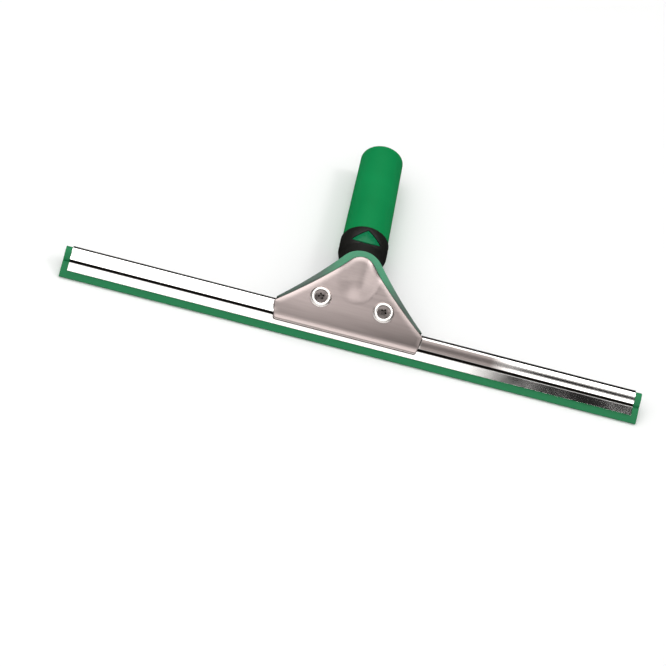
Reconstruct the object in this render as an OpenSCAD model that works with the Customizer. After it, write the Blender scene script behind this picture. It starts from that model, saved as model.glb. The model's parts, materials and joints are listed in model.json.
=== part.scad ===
// Window squeegee: a rubber blade in a steel channel, held by a two-screw
// clamp at the end of a bent handle with a latching pole socket in its tail.
// X runs along the blade, Y from the blade to the tail, Z up off the table.
// The tool lies on its back, on the blade's lip, the rear jaw and the collar.

/* [Blade] */
// Length of the steel channel
channel_len = 350; // [200:5:550]
// Height of the channel across the blade
channel_h = 15.9; // [14.6:0.1:21]
// How far the channel's skirts hang below the head's foot
skirt_drop = 1.6; // [1:0.1:2.4]
// Outside thickness of the bead along the channel's top
bead_d = 7.2; // [6.4:0.1:9]
// Flat on each side of the bead, between its round top and bottom
bead_flat = 2.7; // [0:0.1:3.2]
// Thickness of the channel's sheet
sheet_t = 0.75; // [0.5:0.05:1.2]
// Outside thickness of the channel's skirts
skirt_t = 5; // [4:0.1:6.4]
// How far the rubber's lip stands out of the channel
lip_h = 4.1; // [2.6:0.1:7]
// Thickness of the lip at its wiping edge
lip_t = 1.8; // [1:0.1:2.6]
// Rubber standing out past each end of the channel
overhang = 4.1; // [0:0.1:8]
// How far the blade sits off the clamp's centre
blade_shift = 4.5; // [-40:0.5:40]
// Play between the rubber and the channel
rubber_play = 0.05; // [0.02:0.01:0.1]

/* [Clamp] */
// Width of the front jaw across its wing tips
jaw_w = 92.8; // [80:0.2:150]
// Height of the front jaw's apex over the head's foot
jaw_h = 50.8; // [46:0.1:70]
// Height of the front jaw's wing tips over the head's foot
wing_h = 12.1; // [10:0.1:16]
// Height of the front jaw's bottom edge over the head's foot
jaw_foot = 1.3; // [0.5:0.1:3]
// Radius of the front jaw's apex
apex_r = 10; // [6:0.5:14]
// Radius of the hollow flanks between apex and wing tips
flank_r = 320; // [150:10:900]
// Thickness of the front jaw's plate
plate_t = 1.5; // [1:0.1:2.5]
// Rim of the rear jaw that shows round the front jaw's apex
rim = 4.7; // [1:0.1:6]
// Rim of the rear jaw that shows over the front jaw's wing tips
tip_rim = 1.6; // [0.5:0.1:4]
// Thickness of each rubber jaw pad
pad_t = 1; // [0.6:0.1:2]
// Play between the channel and a jaw pad
pad_play = 0.05; // [0.02:0.01:0.1]
// Thickness of the rear jaw behind its pad
rear_t = 4.85; // [4.85:0.05:8]
// Distance between the two clamp screws
screw_gap = 38.8; // [32:0.2:60]
// Height of the clamp screws over the head's foot
screw_u = 20.8; // [20:0.1:26]
// Thread diameter of the clamp screws
screw_d = 5; // [4:0.5:5]
// Length of the clamp screws under the head
screw_len = 16; // [15.5:0.5:20]
// Diameter of the screw heads
head_d = 7.8; // [7:0.1:9]
// Diameter of the cup washers
washer_d = 13; // [11:0.5:15]

/* [Handle] */
// Angle between the head and the handle
head_tilt = 30; // [20:1:40]
// Distance from the head's foot to the handle's tail along the handle
reach = 150; // [140:0.2:260]
// Distance from the head's foot to the end of the neck sleeve
sleeve_end = 73.2; // [73:0.2:90]
// Diameter of the neck behind the head
neck_d = 27.2; // [26:0.1:32]
// Diameter of the collar at the end of the neck sleeve
collar_d = 30; // [29.3:0.1:36]
// Diameter of the grip at the collar
grip_d = 28.6; // [26.6:0.1:34]
// Diameter of the grip at the tail
tail_d = 26.8; // [25.6:0.1:34]
// Diameter of the tube under the grip
tube_d = 23.8; // [22.5:0.1:25]
// Diameter of the socket for the pole
socket_d = 20; // [17:0.5:20.5]
// Depth of the socket for the pole
socket_depth = 56; // [30:1:60]
// Diameter of the deeper socket for the pole's nose
nose_d = 14; // [11:0.5:14]

/* [Latch] */
// Distance the latch button travels
press = 2; // [1:0.1:2.2]
// Thickness of the latch ring along the handle
ring_t = 3.4; // [3.4:0.1:4]
// Play around the latch and its button
latch_play = 0.3; // [0.25:0.05:0.4]
// Width of the latch button
button_w = 17.6; // [15:0.2:18]
// Length of the latch button at its sides' height
button_l = 7.2; // [6:0.2:8]
// Bow of the button's front edge
button_bow = 3; // [2:0.1:4]
// Distance from the sleeve's end to the button's peak
button_inset = 3.7; // [2:0.1:6]

/* [Hidden] */
$fn = 96;
eps = 0.01;

// Blade section, seen along X: u climbs the head, n points out of its front
bead_r = bead_d / 2;
bead_top = channel_h - skirt_drop;
bead_u = bead_top - bead_r;
bead_low = bead_u - bead_flat;
skirt_round = 1.4;
skirt_top = bead_low - bead_r + 0.46;
waist_half = 0.9;
rubber_len = channel_len + 2 * overhang;

// Clamp stack along n, from the blade's middle plane outwards
plate_back = bead_r + pad_play + pad_t;
plate_front = plate_back + plate_t;
jaw_gap = 0.4;
frame_front = plate_back - jaw_gap;
seat_n = -plate_back;
frame_back = seat_n - rear_t;
seat_top = bead_top + 0.6;
wing_taper = 1.8;
corner_r = 2;

// Screws, washers and nuts
screw_r = screw_d / 2;
washer_base = 0.8;
washer_h = 1.7;
head_seat = plate_front + washer_base + 0.05;
head_h = 1.6;
cup_gap = 0.35;
nut_af = 8;
nut_h = 3.8;
nut_play = 0.05;
nut_pocket_play = 0.1;
screw_hole_r = screw_r + 0.4;

// Front jaw's pressed dome, from its round low end to past the apex, and its
// turned-in foot
dome_low_u = 31;
dome_low_half = 8;
dome_low_rise = 2.6;
dome_top_half = 10.5;
dome_top_rise = 3.6;
dome_past = 8;
foot_bend = 35;
foot_r = 6;
foot_start = 5;

// Heights: the lip and the collar both touch the table
axis_h = collar_d / 2;
lip_reach = skirt_drop + lip_h;
head_z = lip_reach * sin(head_tilt) + lip_t / 2 * cos(head_tilt);
head_y = -(reach - lip_reach * cos(head_tilt) - lip_t / 2 * sin(head_tilt)) / 2;
clamp_x = -blade_shift;

// Neck: a tilted stretch that meets the handle's axis at the elbow
neck_tilt = 20;
neck_len = 36;
elbow = sleeve_end - 16.2;
collar_start = elbow + 5.5;
neck_drop = 1.6;
elbow_swell = 0.15;
core_r = neck_d / 2 - 0.85;
neck_core_r = neck_d / 2 - 2;
tube_end = reach - 1;
grip_round = 2.2;
collar_round = 0.8;

// Latch: a ring round the pole's nose, pushed up by the spring
latch_s = sleeve_end - 9.2;
ring_in = nose_d / 2 + 0.2;
ring_wall = 2.4;
ring_r = ring_in + ring_wall;
slot_half = ring_r + latch_play;
slot_t = ring_t + 2 * latch_play;
button_top_r = collar_d / 2 - 0.35;
button_low = ring_in + press + 1.4;
well_floor = button_low - press - latch_play;
button_peak = sleeve_end - button_inset;
stem_half = 4.6;
peg_r = 0.8;
peg_l = 1;
spring_r = 1.35;
wire_r = 0.2;
spring_turns = 4;
spring_sides = 8;
spring_steps = 20;
spring_floor = -(ring_r + 2);
spring_top = press - ring_r - 0.05;
spring_well_r = spring_r + wire_r + 0.35;

// ---- frames of reference -------------------------------------------------

module at_clamp() {
  translate([clamp_x, head_y, head_z]) rotate([head_tilt, 0, 0]) children();
}

module at_blade() {
  translate([0, head_y, head_z]) rotate([head_tilt, 0, 0]) children();
}

module at_handle(s) {
  translate([clamp_x, head_y + s, axis_h]) children();
}

// Turns a shape drawn up Z to run along the handle towards the tail
module along_handle(s) {
  at_handle(s) rotate([-90, 0, 0]) children();
}

// Runs a section drawn in (u, n) along the blade
module along_blade(len) {
  rotate([90, 0, 90]) linear_extrude(len, center = true) children();
}

module both_screws() {
  for (side = [-1, 1]) translate([side * screw_gap / 2, screw_u, 0]) children();
}

// ---- outlines --------------------------------------------------------------

apex_c = [0, jaw_h - apex_r];

// Centre of the big circle that hollows a flank. It touches an apex circle of
// the given radius from outside and passes through the given wing tip.
function flank_centre(radius, tip) =
  let (c = apex_c, d = norm(tip - c), e = (tip - c) / d, reach_c = flank_r + radius)
  let (along = (reach_c * reach_c - flank_r * flank_r + d * d) / (2 * d))
  c + along * e + sqrt(reach_c * reach_c - along * along) * [-e[1], e[0]];

// The jaws' shared triangle, grown by grow at the apex and by tip_grow at the
// wing tips
module jaw_outline(grow, tip_grow, foot) {
  radius = apex_r + grow;
  low = jaw_w / 2 - wing_taper;
  tip = [jaw_w / 2, wing_h + tip_grow];
  flank_c = flank_centre(radius, tip);
  tangent = apex_c + radius * (flank_c - apex_c) / norm(flank_c - apex_c);
  difference() {
    union() {
      translate(apex_c) circle(radius);
      polygon([[-low + corner_r, foot], [low - corner_r, foot], [low, foot + corner_r],
               [tip[0], wing_h], tip, tangent, [-tangent[0], tangent[1]], [-tip[0], tip[1]],
               [-tip[0], wing_h], [-low, foot + corner_r]]);
      for (side = [-1, 1])
        translate([side * (low - corner_r), foot + corner_r]) circle(corner_r);
    }
    for (side = [-1, 1])
      translate([side * flank_c[0], flank_c[1]]) circle(flank_r, $fn = 720);
  }
}

// The button's arched triangle, seen from above, grown by play
module button_outline(play) {
  bow_r = (pow(button_w / 2, 2) + pow(button_bow, 2)) / (2 * button_bow);
  side_s = button_peak - button_l;
  slope = button_l / (button_w / 2);
  peak = button_peak + play * sqrt(1 + slope * slope);
  run = button_l + 2 * button_bow;
  intersection() {
    translate([0, side_s - button_bow + bow_r]) circle(bow_r + play);
    polygon([[0, peak], [run / slope, peak - run], [-run / slope, peak - run]]);
  }
}

// ---- blade -----------------------------------------------------------------

// Section of a bead of the given radius: round above and below, flat between
module bead(radius) {
  for (u = [bead_low, bead_u]) translate([u, 0]) circle(radius);
  translate([bead_low, -radius]) square([bead_flat, 2 * radius]);
}

// Section of the channel's outside, inset by the sheet for its inside
module channel_section(inset, foot) {
  half = skirt_t / 2 - inset;
  round_r = skirt_round - inset;
  top = skirt_top - inset;
  bead(bead_r - inset);
  translate([foot, -half]) square([top - round_r - foot, 2 * half]);
  translate([foot, -half + round_r]) square([top - foot, 2 * (half - round_r)]);
  for (side = [-1, 1])
    translate([top - round_r, side * (half - round_r)]) circle(round_r);
}

module channel() {
  color("silver") at_blade() along_blade(channel_len) difference() {
    channel_section(0, -skirt_drop);
    channel_section(sheet_t, -skirt_drop - 1);
    translate([skirt_top - 2, -waist_half]) square([4, 2 * waist_half]);
  }
}

module rubber_blade() {
  body_half = skirt_t / 2 - sheet_t - rubber_play;
  shoulder = skirt_top - sheet_t - rubber_play;
  neck_half = waist_half - rubber_play;
  chamfer = 0.7;
  color([0.05, 0.48, 0.27]) at_blade() along_blade(rubber_len) {
    bead(bead_r - sheet_t - rubber_play);
    translate([shoulder - 1, -neck_half]) square([4, 2 * neck_half]);
    polygon([[-lip_reach, -lip_t / 2], [-skirt_drop, -body_half], [shoulder - chamfer, -body_half],
             [shoulder, -body_half + chamfer], [shoulder, body_half - chamfer],
             [shoulder - chamfer, body_half], [-skirt_drop, body_half], [-lip_reach, lip_t / 2]]);
  }
}

// ---- clamp -----------------------------------------------------------------

// Radius of a ball sunk in a face so that it shows a cap of this half width
// and rise
function cap_radius(half, rise) = (half * half + rise * rise) / (2 * rise);

// A ball and the cone that leaves it smoothly, widening towards the apex
module dome() {
  low_r = cap_radius(dome_low_half, dome_low_rise);
  top_r = cap_radius(dome_top_half, dome_top_rise);
  low_n = dome_low_rise - low_r;
  top_n = dome_top_rise - top_r;
  run = jaw_h + dome_past - dome_low_u;
  len = norm([run, top_n - low_n]);
  taper = asin((top_r - low_r) / len);
  translate([0, dome_low_u, low_n]) {
    sphere(low_r);
    rotate([-90 + atan((top_n - low_n) / run), 0, 0])
      translate([0, 0, -low_r * sin(taper)])
        cylinder(h = len - (top_r - low_r) * sin(taper), r1 = low_r * cos(taper), r2 = top_r * cos(taper));
  }
}

// Plate section in (u, n): flat above, with its foot turned in over the skirts
module plate_section() {
  translate([foot_start, plate_back]) square([jaw_h, plate_t]);
  translate([foot_start, plate_back - foot_r]) intersection() {
    difference() {
      circle(foot_r + plate_t);
      circle(foot_r);
    }
    polygon([[0, 0], [-3 * foot_r * tan(foot_bend), 3 * foot_r], [eps, 3 * foot_r], [eps, 0]]);
  }
}

module front_jaw() {
  color([0.66, 0.62, 0.61]) at_clamp() difference() {
    union() {
      intersection() {
        along_blade(jaw_w + 2) plate_section();
        linear_extrude(plate_front + 1) jaw_outline(0, 0, jaw_foot);
      }
      intersection() {
        translate([0, 0, plate_front]) dome();
        translate([0, 0, plate_back]) linear_extrude(4 * dome_top_rise) jaw_outline(0, 0, jaw_foot);
      }
    }
    intersection() {
      translate([0, 0, plate_back]) dome();
      translate([0, 0, plate_back - 1]) linear_extrude(4 * dome_top_rise) jaw_outline(1, 1, jaw_foot);
    }
    both_screws() translate([0, 0, plate_back - 1]) cylinder(h = plate_t + 2, r = screw_r + 0.25);
  }
}

module jaw_pad(low, high) {
  translate([-jaw_w / 2 + 3.4, low, 0]) cube([jaw_w - 6.8, high - low, pad_t]);
}

module front_pad() {
  color([0.12, 0.12, 0.12]) at_clamp()
    translate([0, 0, plate_back - pad_t]) jaw_pad(foot_start + 0.2, bead_top - 0.7);
}

module rear_pad() {
  color([0.12, 0.12, 0.12]) at_clamp()
    translate([0, 0, seat_n]) jaw_pad(3.2, bead_top);
}

module washer() {
  out = washer_d / 2;
  cup = head_d / 2 + cup_gap;
  lip_out = out - 1.4;
  difference() {
    translate([0, 0, plate_front]) rotate_extrude()
      polygon([[screw_r + 0.25, 0], [out, 0], [out, 0.45], [lip_out, washer_h],
               [cup, washer_h], [cup, washer_base], [screw_r + 0.25, washer_base]]);
    translate([-0.6, out - 1.2, plate_front - 1]) cube([1.2, 2, washer_h + 2]);
  }
}

module washer_left() {
  color("gainsboro") at_clamp() translate([-screw_gap / 2, screw_u, 0]) washer();
}

module washer_right() {
  color("gainsboro") at_clamp() translate([screw_gap / 2, screw_u, 0]) washer();
}

// A raised-head screw with a cross recess, turned by the angle turn
module clamp_screw(turn) {
  dome = 0.7;
  dome_r = (pow(head_d / 2, 2) + dome * dome) / (2 * dome);
  recess_l = 4.4;
  recess_w = 0.95;
  recess_depth = 1.3;
  tip_chamfer = 0.6;
  rotate([0, 0, turn]) difference() {
    union() {
      intersection() {
        translate([0, 0, head_seat]) cylinder(h = head_h, d = head_d);
        translate([0, 0, head_seat + head_h - dome_r]) sphere(dome_r);
      }
      translate([0, 0, head_seat - screw_len + tip_chamfer])
        cylinder(h = screw_len - tip_chamfer + eps, r = screw_r);
      translate([0, 0, head_seat - screw_len])
        cylinder(h = tip_chamfer, r1 = screw_r - tip_chamfer, r2 = screw_r);
    }
    for (turn90 = [0, 90]) rotate([0, 0, turn90])
      translate([-recess_l / 2, -recess_w / 2, head_seat + head_h - recess_depth])
        cube([recess_l, recess_w, recess_depth + 1]);
  }
}

module screw_left() {
  color("silver") at_clamp() translate([-screw_gap / 2, screw_u, 0]) clamp_screw(20);
}

module screw_right() {
  color("silver") at_clamp() translate([screw_gap / 2, screw_u, 0]) clamp_screw(62);
}

// Hexagon of the given width across flats
module hexagon(across) {
  circle(d = across / cos(30), $fn = 6);
}

module nut() {
  nut_n = frame_back + 0.2;
  difference() {
    intersection() {
      translate([0, 0, nut_n]) linear_extrude(nut_h) hexagon(nut_af);
      translate([0, 0, nut_n + nut_h / 2]) sphere(r = norm([nut_af / 2 + 0.1, nut_h / 2]));
    }
    translate([0, 0, nut_n - 1]) cylinder(h = nut_h + 2, r = screw_r + nut_play);
  }
}

module nut_left() {
  color("silver") at_clamp() translate([-screw_gap / 2, screw_u, 0]) nut();
}

module nut_right() {
  color("silver") at_clamp() translate([screw_gap / 2, screw_u, 0]) nut();
}

// ---- handle ----------------------------------------------------------------

// Section of the rear jaw in (u, n), stepped back behind the channel
module rear_section() {
  polygon([[2.6, seat_n], [seat_top, seat_n], [seat_top, frame_front], [jaw_h + rim + 1, frame_front],
           [jaw_h + rim + 1, frame_back], [seat_top - 1.9, frame_back], [3.4, seat_n - 1.35]]);
}

// Shallow pockets between ribs on the back of the wings
module wing_pockets() {
  depth = 2.6;
  rib_pitch = 7;
  rib_w = 1.6;
  for (side = [-1, 1], i = [0:2]) {
    x = side * (27.5 + i * rib_pitch);
    intersection() {
      translate([0, 0, frame_back - 1])
        linear_extrude(depth + 1) jaw_outline(rim - 2.2, tip_rim - 2.2, jaw_foot);
      translate([x - (rib_pitch - rib_w) / 2, seat_top, frame_back - 1])
        cube([rib_pitch - rib_w, jaw_h, depth + 1]);
    }
  }
}

module rear_jaw() {
  difference() {
    intersection() {
      along_blade(jaw_w + 2) rear_section();
      translate([0, 0, frame_back]) linear_extrude(frame_front - frame_back)
        jaw_outline(rim, tip_rim, jaw_foot);
    }
    wing_pockets();
  }
}

// A round neck of radius r from inside the rear jaw to the elbow, where a
// slightly larger ball turns it into the handle
module neck(r) {
  at_handle(elbow) {
    rotate([90 - neck_tilt, 0, 0]) cylinder(h = neck_len, r = r);
    rotate([-90, 0, 0]) sphere(r + elbow_swell);
  }
}

// Everything behind a plane set back from the rear jaw's front
module behind_front(back) {
  at_clamp() translate([-60, -60, frame_front - back - 200]) cube([120, 200, 200]);
}

module frame_solid() {
  intersection() {
    union() {
      neck(neck_core_r);
      along_handle(elbow) cylinder(h = sleeve_end - elbow, r = core_r);
    }
    behind_front(neck_drop + 1);
  }
  along_handle(sleeve_end - eps) cylinder(h = tube_end - sleeve_end + eps, d = tube_d);
  at_clamp() rear_jaw();
}

// Slot, button well and spring well that the latch works in
module latch_room() {
  at_handle(latch_s) {
    translate([0, slot_t / 2, 0]) rotate([90, 0, 0]) linear_extrude(slot_t) {
      translate([0, -0.1]) circle(slot_half);
      translate([-slot_half, 0]) square([2 * slot_half, collar_d]);
    }
    translate([0, 0, spring_floor]) cylinder(h = ring_r, r = spring_well_r);
  }
  at_handle(0) translate([0, 0, well_floor]) linear_extrude(collar_d) button_outline(latch_play);
}

module handle_frame() {
  color([0.2, 0.55, 0.37]) difference() {
    frame_solid();
    along_handle(reach - 1 - socket_depth) cylinder(h = socket_depth + 2, d = socket_d);
    along_handle(elbow - 1) cylinder(h = reach - elbow, d = nose_d);
    latch_room();
    at_clamp() both_screws() {
      translate([0, 0, frame_back - 1]) cylinder(h = frame_front - frame_back + 2, r = screw_hole_r);
      translate([0, 0, frame_back - 1])
        linear_extrude(nut_h + 1.2) hexagon(nut_af + 2 * nut_pocket_play);
    }
  }
}

// Section of the collar, turned about the handle's axis from the elbow on
module collar_section() {
  long = sleeve_end - elbow;
  polygon([[0, 0], [neck_d / 2, 0], [collar_d / 2, collar_start - elbow],
           [collar_d / 2, long - collar_round], [collar_d / 2 - collar_round, long], [0, long]]);
}

module neck_sleeve() {
  color([0.12, 0.12, 0.11]) difference() {
    intersection() {
      union() {
        neck(neck_d / 2);
        along_handle(elbow) rotate_extrude() collar_section();
      }
      behind_front(neck_drop);
    }
    frame_solid();
    at_handle(0) translate([0, 0, well_floor]) linear_extrude(collar_d) button_outline(latch_play);
  }
}

module grip_sleeve() {
  long = reach - sleeve_end;
  color([0.02, 0.52, 0.28]) along_handle(sleeve_end) rotate_extrude() difference() {
    union() {
      polygon([[tube_d / 2, 0], [grip_d / 2, 0], [tail_d / 2, long - grip_round],
               [tube_d / 2, long - grip_round]]);
      translate([tube_d / 2 - 1.2, long - grip_round])
        square([tail_d / 2 - grip_round - tube_d / 2 + 1.2, grip_round]);
      translate([tail_d / 2 - grip_round, long - grip_round]) circle(grip_round);
    }
    translate([0, -1]) square([tube_d / 2, tube_end - sleeve_end + 1]);
    translate([0, -1]) square([socket_d / 2, long + 2]);
  }
}

// ---- latch -----------------------------------------------------------------

module latch_button() {
  color([0.1, 0.57, 0.37]) union() {
    at_handle(latch_s) difference() {
      union() {
        translate([0, ring_t / 2, 0]) rotate([90, 0, 0]) linear_extrude(ring_t) {
          translate([0, press]) circle(ring_r);
          translate([-stem_half, press]) square([2 * stem_half, button_low - press + eps]);
        }
        translate([0, 0, press - ring_r - peg_l]) cylinder(h = peg_l + ring_wall / 2, r = peg_r);
      }
      translate([0, ring_t, press]) rotate([90, 0, 0]) cylinder(h = 2 * ring_t, r = ring_in);
    }
    intersection() {
      at_handle(0) translate([0, 0, button_low]) linear_extrude(collar_d) button_outline(0);
      along_handle(0) cylinder(h = reach, r = button_top_r);
    }
  }
}

// Points round the wire at one step of the coil, and the coil's quads
function coil_ring(t, span) =
  let (turn = 360 * spring_turns * t)
  [for (k = [0:spring_sides - 1])
    let (a = 360 * k / spring_sides, r = spring_r + wire_r * cos(a))
    [r * cos(turn), r * sin(turn), span * t + wire_r * sin(a)]];

module latch_spring() {
  span = spring_top - spring_floor - 2 * wire_r;
  rings = spring_turns * spring_steps;
  points = [for (i = [0:rings]) each coil_ring(i / rings, span)];
  sides = [for (i = [0:rings - 1], k = [0:spring_sides - 1])
    let (m = (k + 1) % spring_sides)
    [i * spring_sides + k, i * spring_sides + m, (i + 1) * spring_sides + m, (i + 1) * spring_sides + k]];
  first = [for (k = [spring_sides - 1:-1:0]) k];
  last = [for (k = [0:spring_sides - 1]) rings * spring_sides + k];
  color("silver") at_handle(latch_s) translate([0, 0, spring_floor + wire_r])
    polyhedron(points, concat([first], sides, [last]));
}

handle_frame();
neck_sleeve();
grip_sleeve();
rear_pad();
nut_left();
nut_right();
front_jaw();
front_pad();
washer_left();
washer_right();
screw_left();
screw_right();
channel();
rubber_blade();
latch_button();
latch_spring();
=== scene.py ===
# %% [markdown]
# # A window squeegee
# The tool has a green rubber blade, a polished steel channel that holds the rubber, a two-screw
# clamp, and a short hollow handle with a latch for a pole. The solid parts already exist as an
# exact model. This lesson builds the surfaces the eye sees round them, in metres and in place.

# %% Load the solid parts
import json
import math

import bmesh
import bpy
from mathutils import Matrix, Vector
from mathutils.geometry import delaunay_2d_cdt

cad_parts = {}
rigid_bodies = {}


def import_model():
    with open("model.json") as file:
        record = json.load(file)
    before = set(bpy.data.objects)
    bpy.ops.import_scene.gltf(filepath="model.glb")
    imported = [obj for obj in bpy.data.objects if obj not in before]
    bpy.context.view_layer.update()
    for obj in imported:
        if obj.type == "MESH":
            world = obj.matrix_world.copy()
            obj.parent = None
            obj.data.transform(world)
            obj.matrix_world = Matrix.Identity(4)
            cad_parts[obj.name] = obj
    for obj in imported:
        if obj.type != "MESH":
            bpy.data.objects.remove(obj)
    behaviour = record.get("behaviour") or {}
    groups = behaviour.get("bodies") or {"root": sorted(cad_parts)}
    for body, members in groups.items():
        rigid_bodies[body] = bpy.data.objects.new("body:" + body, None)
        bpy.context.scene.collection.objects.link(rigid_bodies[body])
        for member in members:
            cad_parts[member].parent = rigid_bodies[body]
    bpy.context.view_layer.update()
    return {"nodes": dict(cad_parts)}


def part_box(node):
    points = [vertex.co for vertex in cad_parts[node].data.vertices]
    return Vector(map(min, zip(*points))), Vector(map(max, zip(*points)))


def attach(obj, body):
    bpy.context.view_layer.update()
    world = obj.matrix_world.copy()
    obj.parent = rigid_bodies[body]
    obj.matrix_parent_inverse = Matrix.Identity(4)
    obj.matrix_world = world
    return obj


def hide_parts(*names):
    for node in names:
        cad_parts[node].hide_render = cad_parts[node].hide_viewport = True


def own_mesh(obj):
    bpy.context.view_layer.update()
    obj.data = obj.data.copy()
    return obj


for leftover in list(bpy.data.objects):
    bpy.data.objects.remove(leftover)
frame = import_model()
scene = bpy.context.scene

# %% [markdown]
# ## Where things are
# Each part is easiest to draw in its own flat frame in millimetres: the head in x, u (up the
# head) and n (out of its front), the handle turned about its own axis. A matrix then puts the
# finished mesh in its place, so no object is ever moved, turned or scaled.

# %% The head's and the handle's frames
MM = 0.001
TILT = math.radians(30)
LIP_H, LIP_T = 5.7, 1.8
REACH, SLEEVE_END = 150.0, 73.2

jaw_low, jaw_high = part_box("front_jaw")
grip_low, grip_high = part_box("grip_sleeve")
clamp_x = (jaw_low.x + jaw_high.x) / 2 / MM
axis_z = (grip_low.z + grip_high.z) / 2 / MM
head_y = grip_high.y / MM - REACH
head_z = LIP_H * math.sin(TILT) + LIP_T / 2 * math.cos(TILT)


def place(x, y, z, turn=Matrix.Identity(4)):
    """Millimetres in a part's own frame to metres in the shared one."""
    return Matrix.Translation(Vector((x, y, z)) * MM) @ turn @ Matrix.Scale(MM, 4)


tip_back = Matrix.Rotation(TILT, 4, "X")
section_to_blade = Matrix(((0, 0, 1), (1, 0, 0), (0, 1, 0))).to_4x4()
HEAD = place(clamp_x, head_y, head_z, tip_back)
BLADE = place(0, head_y, head_z, tip_back @ section_to_blade)


def handle_at(s):
    """The frame whose Z runs to the handle's tail, s millimetres from the head's foot."""
    return place(clamp_x, head_y + s, axis_z, Matrix.Rotation(-math.pi / 2, 4, "X"))


print(f"head at y {head_y:.2f} z {head_z:.2f} mm")
print(f"handle's axis at x {clamp_x:.2f} z {axis_z:.2f} mm")

# %% [markdown]
# ## Camera
# The tool is seen from in front and above through a long lens, rolled so that the blade slopes
# down to the right. The three directions below are the camera's right, down and forward.

# %% Camera
right = Vector((0.96766, 0.15252, 0.20092))
down = Vector((0.24893, -0.70620, -0.66280))
forward = Vector((0.04080, 0.69139, -0.72133))
eye = Vector((-0.08177, -1.26373, 1.25000))

camera = bpy.data.objects.new("camera", bpy.data.cameras.new("camera"))
scene.collection.objects.link(camera)
turn = Matrix((right, -down, -forward)).transposed().to_4x4()
camera.matrix_world = Matrix.Translation(eye) @ turn
camera.data.lens = 155.1
camera.data.sensor_width = 36
camera.data.clip_start, camera.data.clip_end = 0.05, 50
scene.camera = camera
print(f"camera {eye.length:.2f} m from the origin, lens {camera.data.lens} mm")

# %% [markdown]
# ## Nodes and colours
# One function adds a node with its settings and its links, for materials, light and geometry
# alike. A second turns the hex colour that a paint chart gives into the linear light that the
# shader works in. A third links what a finish has worked out to its shader.

# %% Three small helpers
def add(tree, kind, inputs=None, **settings):
    """Adds a node. Each input is a value, or another node's output to link from."""
    made = tree.nodes.new(kind)
    for key, value in settings.items():
        setattr(made, key, value)
    for key, value in (inputs or {}).items():
        if isinstance(value, bpy.types.NodeSocket):
            tree.links.new(value, made.inputs[key])
        else:
            made.inputs[key].default_value = value
    return made


def linear(hex_colour):
    """#rrggbb in sRGB to linear RGBA."""
    parts = [int(hex_colour[i:i + 2], 16) / 255 for i in (1, 3, 5)]
    return (*[c / 12.92 if c <= 0.04045 else ((c + 0.055) / 1.055) ** 2.4 for c in parts], 1.0)


def dress(tree, shader, colour, roughness=None, normal=None):
    """Links a finish's colour, roughness and bump to its shader, where it has them."""
    for socket, source in (("Base Color", colour), ("Roughness", roughness), ("Normal", normal)):
        if source is not None:
            tree.links.new(source, shader.inputs[socket])


# %% [markdown]
# ## Studio
# Polished steel shows nothing but its surroundings, so the room matters more than the lamps. The
# walls are a pale tent with a darker horizon, and dark strips that only reflections can see give
# the channel its thin black lines, as strips of black card do in a real studio.

# %% The tent
world = bpy.data.worlds.new("tent")
scene.world = world
world.use_nodes = True
sky = world.node_tree
sky.nodes.clear()
direction = add(sky, "ShaderNodeTexCoord")
height = add(sky, "ShaderNodeSeparateXYZ", {"Vector": direction.outputs["Generated"]})
walls = add(sky, "ShaderNodeValToRGB", {"Fac": height.outputs["Z"]})
walls.color_ramp.elements[0].position = 0.10
walls.color_ramp.elements[0].color = (0.20, 0.20, 0.20, 1)
walls.color_ramp.elements[1].position = 0.45
walls.color_ramp.elements[1].color = (0.80, 0.79, 0.78, 1)
to_right = add(sky, "ShaderNodeMapRange", {"Value": height.outputs["X"], "From Min": 0.22,
               "From Max": 0.55, "To Min": 1.0, "To Max": 0.15}, interpolation_type="SMOOTHSTEP")
dimmed = add(sky, "ShaderNodeMix", {"Factor": to_right.outputs["Result"],
             "A": (0.05, 0.05, 0.05, 1), "B": walls.outputs["Color"]}, data_type="RGBA")
seen = add(sky, "ShaderNodeLightPath")
pale = (0.93, 0.93, 0.93, 1)
soft = add(sky, "ShaderNodeMix", {"Factor": seen.outputs["Is Glossy Ray"], "A": pale,
           "B": dimmed.outputs["Result"]}, data_type="RGBA")
air = add(sky, "ShaderNodeBackground", {"Color": soft.outputs["Result"], "Strength": 0.68})
add(sky, "ShaderNodeOutputWorld", {"Surface": air.outputs["Background"]})

# %% Lamps
def lamp(name, at, aim, size, watts, only_seen=False):
    """A soft panel of light at one point, facing another, or one that only reflections see."""
    light = bpy.data.lights.new(name, "AREA")
    light.shape = "RECTANGLE"
    light.size, light.size_y = size
    light.energy = watts
    holder = bpy.data.objects.new(name, light)
    scene.collection.objects.link(holder)
    holder.location = at
    holder.rotation_mode = "QUATERNION"
    holder.rotation_quaternion = (Vector(aim) - Vector(at)).to_track_quat("-Z", "Y")
    holder.visible_camera = False
    holder.visible_diffuse = not only_seen


lamp("top_panel", (-0.75, -0.35, 1.25), (-0.75, -0.35, 0), (1.9, 1.5), 9.5)
lamp("key", (0.75, 0.15, 1.05), (0, 0, 0), (0.35, 0.35), 2.5)
lamp("back", (-0.6, 1.5, 1.9), (0, 0, 0), (1.6, 0.4), 4)
lamp("rim_panel", (-0.05, 0.40, 1.15), (-0.05, 0.40, 0), (2.1, 1.0), 22, True)
lamp("dome_panel", (0.87, -0.65, 1.15), (0.87, -0.65, 0), (0.9, 1.2), 9.5, True)
lamp("foot_panel", (-0.025, -1.7, 0.95), (0, 0, 0), (1.35, 1.3), 17, True)

# %% Dark strips that only reflections see
black = bpy.data.materials.new("black_card")
black.use_nodes = True
shader = black.node_tree.nodes["Principled BSDF"]
shader.inputs["Base Color"].default_value = linear("#0a0a0a")
shader.inputs["Roughness"].default_value = 1.0


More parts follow.
